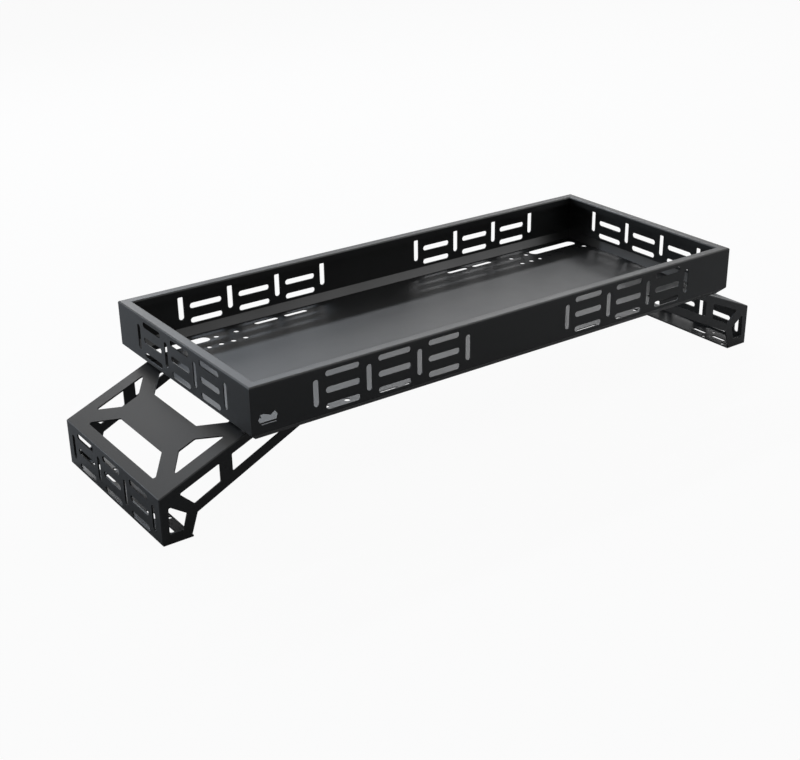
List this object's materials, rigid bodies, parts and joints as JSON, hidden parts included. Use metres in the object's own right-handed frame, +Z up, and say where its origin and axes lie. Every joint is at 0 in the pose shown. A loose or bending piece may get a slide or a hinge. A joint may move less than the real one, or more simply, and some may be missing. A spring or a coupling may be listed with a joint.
{
  "type": "overbed cargo rack",
  "caption": "Long slotted sheet-steel cargo tray carried over a utility vehicle's bed on two sloping open legs that stand on the bed rails.",
  "frame": {"origin": "centre of the rack in plan, on the plane of the two foot plates' undersides", "axes": "+X along the tray from leg to leg, +Y across it to the rear wall, +Z up"},
  "size_m": [1.536, 0.524, 0.2885],
  "materials": {
    "tray_coat": "satin black powder coat on steel",
    "floor_coat": "satin black powder coat on steel",
    "leg_coat": "satin black powder coat on steel"
  },
  "bodies": {
    "root": {"front_wall": "tray_coat", "rear_wall": "tray_coat", "left_end_wall": "tray_coat", "right_end_wall": "tray_coat", "floor_pan": "floor_coat", "left_leg_top_plate": "leg_coat", "left_leg_outer_plate": "leg_coat", "left_leg_front_side_plate": "leg_coat", "left_leg_rear_side_plate": "leg_coat", "left_leg_foot_plate": "leg_coat", "right_leg_top_plate": "leg_coat", "right_leg_outer_plate": "leg_coat", "right_leg_front_side_plate": "leg_coat", "right_leg_rear_side_plate": "leg_coat", "right_leg_foot_plate": "leg_coat"}
  },
  "joints": []
}
